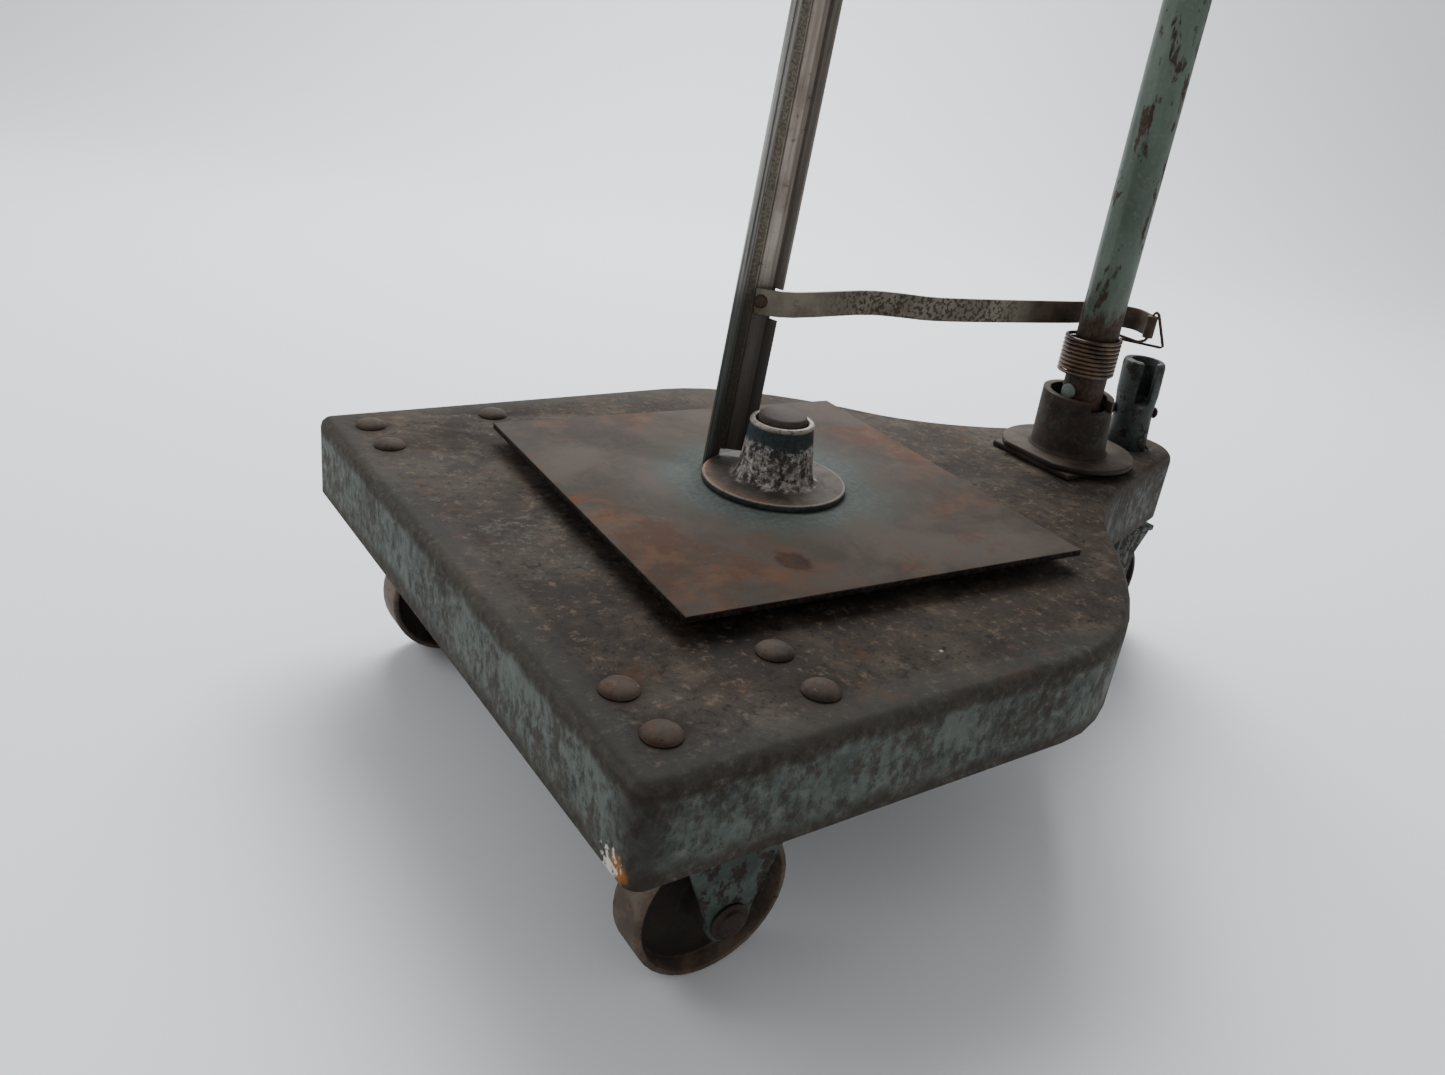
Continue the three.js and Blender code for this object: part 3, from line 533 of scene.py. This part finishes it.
def plate_finish():
    material, start = new_finish("plate_steel")
    place = place_on(start)
    up = step_up(facing_up(start), 0.55, 0.9)
    fine = grain(place, 240, 5, 0.7)
    cloud = grain(place, 9, 7, 0.6, 0.5)
    mid = grain(moved(place, 3, 3, 0), 30, 6, 0.65, 0.2)
    reach = from_point(place, hub.x, hub.y)
    top = laid(step_up(cloud, 0.4, 0.62), "#463f3a", "#36312d")
    top = laid(step_up(mid, 0.45, 0.68) * 0.6, "#4d4540", top)
    far = step_up(reach + (cloud - 0.5) * 0.12, *RUST_EDGE)
    rust = step_up(grain(moved(place, 5, 1, 0), 12, 7, 0.68, 0.5), 0.47, 0.62) * far
    top = laid(rust * 0.9, laid(step_up(mid, 0.42, 0.6), "#553e2f", "#422d22"), top)
    ember = step_up(grain(moved(place, 1, 8, 0), 55, 6, 0.65), 0.6, 0.7) * far
    top = laid(ember * 0.7, "#56351e", top)
    haze = 1 - step_up(reach + (cloud - 0.5) * 0.1 + (mid - 0.5) * 0.03, *HAZE_EDGE)
    top = laid(haze * 0.45, "#424741", top)
    halo = 1 - step_up(reach + (mid - 0.5) * 0.035 + (cloud - 0.5) * 0.05, *HALO_EDGE)
    top = laid(halo * 0.8, laid(step_up(fine, 0.4, 0.62), "#464e4c", "#373f3f"), top)
    top = laid(step_up(fine, 0.58, 0.74) * 0.3, "#615a54", top)
    top = laid(specks(place, 90, 0.09, 0.03) * 0.8, "#201610", top)
    pock = from_point(place, *POCK, flat=(1, 0.6, 0))
    pock = pock + (mid - 0.5) * 0.02 + (fine - 0.5) * 0.006
    top = laid(1 - step_up(pock, 0.007, 0.0115), "#2b1f1b", top)
    glow = (1 - step_up(pock, 0.012, 0.05)) * step_up(mid, 0.4, 0.6)
    top = laid(glow * 0.4, "#4f3320", top)
    spot = from_point(place, *BROWN_SPOT) + (fine - 0.5) * 0.006
    top = laid(1 - step_up(spot, 0.003, 0.0065), "#55311d", top)
    side = laid(step_up(fine, 0.45, 0.6), "#2f2824", "#1a1511")
    colour = laid(up, top, side)
    rough = 0.82 + (mid - 0.5) * 0.25 + (fine - 0.5) * 0.15 - halo * 0.05
    relief = fine * 0.3 + mid * 0.4 + rust * 0.5 + step_up(pock, 0.006, 0.012) * 1.2
    normal = bumped(start, relief, 0.0004, bumped(start, grain(place, 7, 2), 0.002))
    paint_on(material, start, colour=colour, roughness=rough, metal=0.05, normal=normal, shine=0.15)
    return material


load_plate = rework("load_plate_sheet", "load_plate", "turntable", ease=0.0008)
load_plate.data.materials.append(plate_finish())
for node, body, slot, finish in (
        ("thrust_washer", "turntable", "bronze", bronze_finish),
        ("bearing_ring", "deck", "fastener_iron", dark_iron),
        ("king_backing_plate", "deck", "deck_steel", under_iron),
        ("king_nut", "deck", "fastener_iron", dark_iron)):
    piece = rework(f"{node}_turned", node, body, ease=0.0005)
    piece.data.materials.append(finish)


# ---- Hub and king pin ---------------------------------------------------------------------
# The cast hub stands on a round flange that is screwed up on the plate.  Blue-green paint is
# left under its rim, and hands and loads have rubbed its sides to bright iron.
hub_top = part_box("hub_cone")[1].z
RUBBED_TO_HEIGHT = (0.2305, 0.2345)
PAINTED_FROM_HEIGHT = (0.224, 0.2325)
FLANGE_FROM = (0.0275, 0.033)
FLANGE_LIP = (0.0484, 0.0494)
FLANGE_WALL = (0.0502, 0.0508)


def hub_finish():
    material, start = new_finish("hub_cast_iron")
    place = place_on(start)
    height = part_of(place, "Z")
    reach = from_point(place, hub.x, hub.y)
    fine = grain(place, 260, 6, 0.7)
    cloud = grain(place, 60, 6, 0.62, 0.4)
    streak = grain(stretched(place, 1, 1, 0.28), 150, 6, 0.7)
    rubbed = grain(moved(place, 3, 0, 6), 210, 8, 0.75)
    iron = laid(step_up(cloud, 0.4, 0.62), "#49413a", "#2d2621")
    coat = laid(step_up(fine, 0.4, 0.62), "#343f3e", "#252d2e")
    worn = step_up(rubbed + (streak - 0.5) * 0.5 + (cloud - 0.5) * 0.45, 0.43, 0.6)
    worn = worn * (1 - step_up(height + (cloud - 0.5) * 0.01, *RUBBED_TO_HEIGHT))
    painted = step_up(height + (cloud - 0.5) * 0.02, *PAINTED_FROM_HEIGHT)
    cone = laid(painted, coat, iron)
    cone = laid(worn * 0.8, laid(step_up(fine, 0.4, 0.6), "#bdbab6", "#7d7873"), cone)
    disc = laid(step_up(cloud, 0.4, 0.6), "#453e38", "#322b26")
    disc = laid(step_up(fine, 0.56, 0.7) * 0.5, "#625b54", disc)
    left_rim = step_up(hub.x - part_of(place, "X") + (fine - 0.5) * 0.02, 0.018, 0.034)
    left_rim = left_rim * step_up(streak, 0.42, 0.56) * step_up(reach, 0.042, 0.049)
    disc = laid(left_rim, "#63412a", disc)
    outer = step_up(reach, *FLANGE_FROM)
    colour = laid(outer, disc, cone)
    wall = step_up(reach, *FLANGE_WALL)
    colour = laid(wall, laid(step_up(fine, 0.42, 0.6), "#39423f", "#272c2a"), colour)
    # The flange's lip and the cone's top rim are painted pale: bare worn edges with a painted
    # highlight on them.
    lip = step_up(reach, *FLANGE_LIP) * (1 - wall)
    rim = step_up(height, hub_top - 0.0035, hub_top - 0.002)
    bright = start.maths("MAXIMUM", lip * 0.3, rim * 0.75) * step_up(fine, 0.3, 0.5)
    colour = laid(bright, "#a09890", colour)
    worn = worn * (1 - outer)
    metal = 0.1 + worn * 0.3 + rim * 0.4
    rough = 0.7 - worn * 0.25 - rim * 0.2 + (fine - 0.5) * 0.25
    normal = bumped(start, fine * 0.4 + cloud * 0.5 + worn * 0.3, 0.0004)
    paint_on(material, start, colour=colour, roughness=rough, metal=metal, normal=normal, shine=0.3)
    return material


hub_piece = rework("hub_cone_cast", "hub_cone", "turntable", ease=0.0004)
hub_piece.data.materials.append(hub_finish())
pin_finish = iron_finish("pin_head_steel", "#4d4742", "#413936", "#41322b", 0.25, 0.75, 0.1)
king_head = rework("king_pin_head", "king_pin", "deck", ease=0.0006)
king_head.data.materials.append(pin_finish)


# ---- Channel post and strap ---------------------------------------------------------------
# The post is rolled steel channel, welded to the plate by its foot and leaning back.  The flat
# strap is riveted inside it, passes behind the tube and hooks round it.
POST_FOOT = Vector((-0.1121, 0.045, 0.1987))
POST_UP = Vector((math.tan(math.radians(7.05)), math.tan(math.radians(3.64)), 1)).normalized()
post_turn = math.radians(-33.7)
POST_OUT = POST_UP.cross(Vector((math.cos(post_turn), math.sin(post_turn), 0))).normalized()
POST_ALONG = POST_OUT.cross(POST_UP).normalized()
LEFT_FLANGE = (-0.0095, -0.0088)
STRIP_LEFT = (-0.0088, -0.008)
STRIP_RIGHT = (-0.0032, -0.0026)
LINE_LEFT = (-0.0028, -0.0024)
LINE_RIGHT = (-0.0018, -0.0014)
RIGHT_FLANGE = (0.0086, 0.0092)
SHADE_TOP = (0.1, 0.155)


def along(place, point, way):
    """How far a place lies from a point along a way."""
    away = moved(place, *point)
    return away.node("VectorMath", {"operation": "DOT_PRODUCT"}, {0: away, 1: way}, 1)


def post_finish():
    material, start = new_finish("post_steel")
    place = place_on(start)
    across = along(place, POST_FOOT, POST_ALONG)
    rise = along(place, POST_FOOT, POST_UP)
    depth = along(place, POST_FOOT, POST_OUT)
    own = start.node("CombineXYZ", None, {0: across, 1: depth, 2: rise * 0.06})
    streak = grain(own, 260, 6, 0.65)
    fine = grain(place, 300, 5, 0.7)
    cloud = grain(place, 30, 6, 0.6, 0.3)
    steel = laid(step_up(streak, 0.4, 0.62), "#b5aca2", "#978e85")
    steel = laid(step_up(cloud, 0.5, 0.68) * 0.5, "#6f645a", steel)
    # The web is painted darker towards both flanges: painted shade in the channel's inner corners.
    steel = laid(step_up(abs(across + 0.0005), 0.0062, 0.0068) * 0.5, "#5d544c", steel)
    strip = step_up(across, *STRIP_LEFT) * (1 - step_up(across, *STRIP_RIGHT))
    dots = step_up(grain(place, 520, 4, 0.65), 0.44, 0.58)
    olive = laid(dots, "#4a4538", "#716c5b")
    steel = laid(strip * 0.85, olive, steel)
    line = step_up(across, *LINE_LEFT) * (1 - step_up(across, *LINE_RIGHT))
    steel = laid(line * 0.7, "#2c2622", steel)
    # The left flange is painted in pale and grey bands: a painted highlight where its edge catches
    # the light.
    left = 1 - step_up(across, *LEFT_FLANGE)
    banded = start.node("CombineXYZ", None, {0: across * 3, 1: 0, 2: rise * 0.02})
    bands = grain(banded, 180, 3, 0.5)
    grey = laid(step_up(bands, 0.4, 0.56), "#d2d3d0", "#6c706d")
    steel = laid(left * 0.9, grey, steel)
    # The right flange is painted darker: painted shade on the side turned away from the light.
    right = step_up(across, *RIGHT_FLANGE)
    steel = laid(right * 0.6, laid(step_up(bands, 0.45, 0.6), "#6c665f", "#3b3631"), steel)
    shade = 1 - step_up(rise + (cloud - 0.5) * 0.06, *SHADE_TOP)
    low_web = laid(left, laid(step_up(bands, 0.4, 0.6), "#4c5450", "#39403d"), "#2b2724")
    colour = laid(shade * 0.85, low_web, steel)
    back = step_up(depth, 0.0012, 0.0016)
    colour = laid(back * 0.5, "#5c5249", colour)
    freckle = step_up(grain(moved(place, 1, 1, 1), 170, 6, 0.7), 0.6, 0.68)
    colour = laid(freckle * (1 - left) * 0.6, "#4b3628", colour)
    metal = 0.5 - left * 0.2 - strip * 0.4 - shade * 0.3
    rough = 0.34 - left * 0.06 + strip * 0.3 + shade * 0.2 + (streak - 0.5) * 0.25 + freckle * 0.2
    normal = bumped(start, streak * 0.4 + fine * 0.2 + dots * strip * 0.5, 0.0003)
    paint_on(material, start, colour=colour, roughness=rough, metal=metal, normal=normal, shine=0.5)
    return material


RUSTY_END = (-0.104, -0.092)
SPECKLED_FROM = (-0.06, -0.01)
SPECKLED_TO = (0.12, 0.16)
HOOK_RUST = (0.13, 0.165)


def strap_finish():
    material, start = new_finish("strap_paint")
    place = place_on(start)
    east = part_of(place, "X")
    fine = grain(place, 330, 5, 0.7)
    cloud = grain(place, 40, 5, 0.6)
    coat = laid(step_up(cloud, 0.4, 0.6), "#7c786b", "#6b6659")
    dots = step_up(grain(place, 330, 4, 0.55), 0.5, 0.56)
    dense = step_up(east, *SPECKLED_FROM) * (1 - step_up(east, *SPECKLED_TO))
    near = 1 - step_up(east + (cloud - 0.5) * 0.04, *RUSTY_END)
    amount = start.maths("MAXIMUM", dense, step_up(grain(place, 60), 0.5, 0.7) * 0.35)
    colour = laid(dots * amount * 0.9, "#3a3121", coat)
    colour = laid(near * 0.8, laid(step_up(fine, 0.45, 0.6), "#5e4431", "#3c2e27"), colour)
    tail = step_up(east + (cloud - 0.5) * 0.05, *HOOK_RUST)
    colour = laid(tail * 0.92, laid(step_up(cloud, 0.42, 0.6), "#4c3a32", "#34281f"), colour)
    rough = 0.55 + (fine - 0.5) * 0.3 + tail * 0.15
    normal = bumped(start, fine * 0.3 - dots * amount * 0.6, 0.0003)
    paint_on(material, start, colour=colour, roughness=rough, metal=0.2, normal=normal, shine=0.4)
    return material


post = rework("channel_post_steel", "channel_post", "turntable", ease=0.0003)
post.data.materials.append(post_finish())
strap = rework("strap_bar", "strap", "turntable", ease=0.0004)
strap.data.materials.append(strap_finish())
rust_iron = iron_finish("rust_iron", "#4f3e32", "#332720", "#67412a", 0.4, 0.6, 0.35)
strap_rivet = rework("strap_rivet_head", "strap_rivet", "turntable",
                     ease=0.0003)
strap_rivet.data.materials.append(rust_iron)


# ---- Bail ---------------------------------------------------------------------------------
# A loop of bent spring wire, brown with rust.  Its ends sit in the rolled eye at the strap's
# end, where it swings, and it clips over the hook to keep the tube in.
bail = rework("bail_wire_bent", "bail_wire", "bail", ease=0, smooth=60)
bail.data.materials.append(rust_iron)


# ---- Socket -------------------------------------------------------------------------------
# A cast socket stands on a round-backed foot and a thicker pad at the root of the neck.  Its
# rim is cut down to a ramp and a notch, where the cross pin of the tube drops in.
SOCKET_PAINT_FROM = (0.2, 0.212)
SOCKET_RIM_FROM = (0.2425, 0.2445)


def socket_finish():
    material, start = new_finish("socket_iron")
    place = place_on(start)
    height = part_of(place, "Z")
    up = step_up(facing_up(start), 0.5, 0.9)
    fine = grain(place, 230, 6, 0.7)
    cloud = grain(place, 32, 6, 0.62, 0.4)
    colour = laid(step_up(cloud, 0.4, 0.6), "#332a24", "#201812")
    colour = laid(step_up(fine, 0.52, 0.7) * 0.5, "#483d33", colour)
    green = step_up(grain(moved(place, 2, 7, 0), 70, 7, 0.7), 0.52, 0.6)
    green = green * step_up(height, *SOCKET_PAINT_FROM)
    colour = laid(green * 0.6, "#343e39", colour)
    dust = up * step_up(grain(place, 50, 5), 0.4, 0.6)
    colour = laid(dust * 0.6, "#483e34", colour)
    rim = step_up(height, *SOCKET_RIM_FROM)
    colour = laid(rim * 0.5, "#4b453f", colour)
    rough = 0.74 + (fine - 0.5) * 0.25
    normal = bumped(start, fine * 0.5 + cloud * 0.5, 0.0006)
    paint_on(material, start, colour=colour, roughness=rough, metal=0.1, normal=normal, shine=0.3)
    return material


socket_iron = socket_finish()
for node, ease in (("socket_pad", 0.0012), ("socket_disc", 0.0012), ("handle_socket", 0.0007)):
    piece = rework(f"{node}_cast", node, "deck", ease=ease)
    piece.data.materials.append(socket_iron)


# ---- Tube handle --------------------------------------------------------------------------
# A drawn steel tube with a green lug pin through its foot.  Its blue-green paint is chipped in
# long flakes and has gone below the strap; a close-wound spring rides loose round it.
TUBE_PAINT_FROM = (0.306, 0.316)


def tube_finish():
    material, start = new_finish("tube_paint")
    place = place_on(start)
    height = part_of(place, "Z")
    tall = stretched(place, 1, 1, 0.34)
    fine = grain(place, 260, 6, 0.7)
    cloud = grain(tall, 22, 6, 0.62, 0.3)
    chips = grain(tall, 90, 8, 0.66, 0.2)
    coat = laid(step_up(cloud, 0.38, 0.62), "#566359", "#434e45")
    coat = laid(step_up(fine, 0.5, 0.7) * 0.35, "#70786c", coat)
    bare = step_up(chips + (cloud - 0.5) * 0.5, 0.575, 0.62)
    ragged = height + (cloud - 0.5) * 0.06 + (chips - 0.5) * 0.03
    foot = 1 - step_up(ragged, *TUBE_PAINT_FROM)
    bare = start.maths("MAXIMUM", bare, foot)
    iron = laid(step_up(fine, 0.4, 0.64), "#4a382e", "#2e2118")
    colour = laid(bare, iron, coat)
    soot = step_up(grain(moved(tall, 4, 4, 0), 40, 6, 0.65), 0.56, 0.7)
    colour = laid(soot * 0.4, "#343730", colour)
    rough = 0.5 + bare * 0.28 + (fine - 0.5) * 0.2
    normal = bumped(start, fine * 0.25 - bare * 0.6 + cloud * 0.2, 0.0005)
    paint_on(material, start, colour=colour, roughness=rough, metal=0.15, normal=normal, shine=0.45)
    return material


tube_paint = tube_finish()
for node in ("handle_tube", "handle_crossbar"):
    piece = rework(f"{node}_drawn", node, "handle", ease=0.0005)
    piece.data.materials.append(tube_paint)
lug_green = green_finish("lug_green", "#5b6560", "#818a84", 0.25, "#5d4f44", "#3a2f28")
lug = rework("cross_pin_lug", "cross_pin", "handle", ease=0.0006)
lug.data.materials.append(lug_green)

spring_low, spring_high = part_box("handle_spring")
SPRING_TURNS = 9
SPRING_WIRE = 0.00158
STEPS_A_TURN = 36
spring_reach = (spring_high.x - spring_low.x) / 2 - SPRING_WIRE
spring_rise = spring_high.z - spring_low.z - 2 * SPRING_WIRE
bpy.ops.object.select_all(action="DESELECT")
bpy.ops.mesh.primitive_circle_add(vertices=12, radius=SPRING_WIRE, fill_type="NOTHING")
spring = bpy.context.object
spring.name = "handle_spring_coil"
set_down(spring, (spring_reach, 0, 0), (math.pi / 2, 0, 0))
coil = spring.modifiers.new("coil", "SCREW")
coil.angle = 2 * math.pi * SPRING_TURNS
coil.screw_offset = spring_rise
coil.steps = coil.render_steps = SPRING_TURNS * STEPS_A_TURN
coil.use_normal_calculate = True
bpy.ops.object.modifier_apply(modifier="coil")
bpy.ops.object.mode_set(mode="EDIT")
bpy.ops.mesh.select_all(action="SELECT")
bpy.ops.mesh.remove_doubles(threshold=0.000005)
bpy.ops.mesh.select_mode(type="EDGE")
bpy.ops.mesh.select_all(action="DESELECT")
bpy.ops.mesh.select_non_manifold()
bpy.ops.mesh.edge_face_add()
bpy.ops.mesh.select_all(action="SELECT")
bpy.ops.mesh.normals_make_consistent(inside=False)
bpy.ops.object.mode_set(mode="OBJECT")
bpy.ops.object.shade_smooth()
spring_axis = (spring_low + spring_high) / 2
set_down(spring, (spring_axis.x, spring_axis.y, spring_low.z + SPRING_WIRE))
spring_steel = iron_finish("spring_steel", "#645243", "#3c2e26", "#4e3626", 0.6, 0.42, 0.6)
spring.data.materials.append(spring_steel)
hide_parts("handle_spring")
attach(spring, "handle")


# ---- Steered caster and its slotted post --------------------------------------------------
# The rear fork turns on a stem that rises through the neck.  A slotted iron post is pinned on
# the stem's top, and a tow bar drops into it to steer the wheel.
post_green = green_finish("post_green", "#1f2724", "#2f3835", 0.3, "#2e2723", "#15120f")
rear_pieces = (
    ("rear_fork_crown", "steered_caster", "green_paint", leg_green),
    ("rear_right_leg", "steered_caster", "green_paint", leg_green),
    ("rear_left_leg", "steered_caster", "green_paint", leg_green),
    ("slotted_post", "steered_caster", "green_paint", post_green),
    ("steering_stem", "steered_caster", "fastener_iron", dark_iron),
    ("post_pin", "steered_caster", "fastener_iron", dark_iron),
    ("rear_axle", "steered_caster", "fastener_iron", dark_iron),
    ("rear_axle_nut", "steered_caster", "fastener_iron", dark_iron),
    ("swivel_bearing", "steered_caster", "fastener_iron", dark_iron),
    ("swivel_housing", "deck", "fastener_iron", under_iron),
    ("rear_wheel", "rear_wheel", "wheel_iron", rear_iron),
    ("rear_bush", "rear_wheel", "bronze", bronze_finish),
)
for node, body, slot, finish in rear_pieces:
    piece = rework(f"{node}_piece", node, body, ease=0.0005)
    piece.data.materials.append(finish)
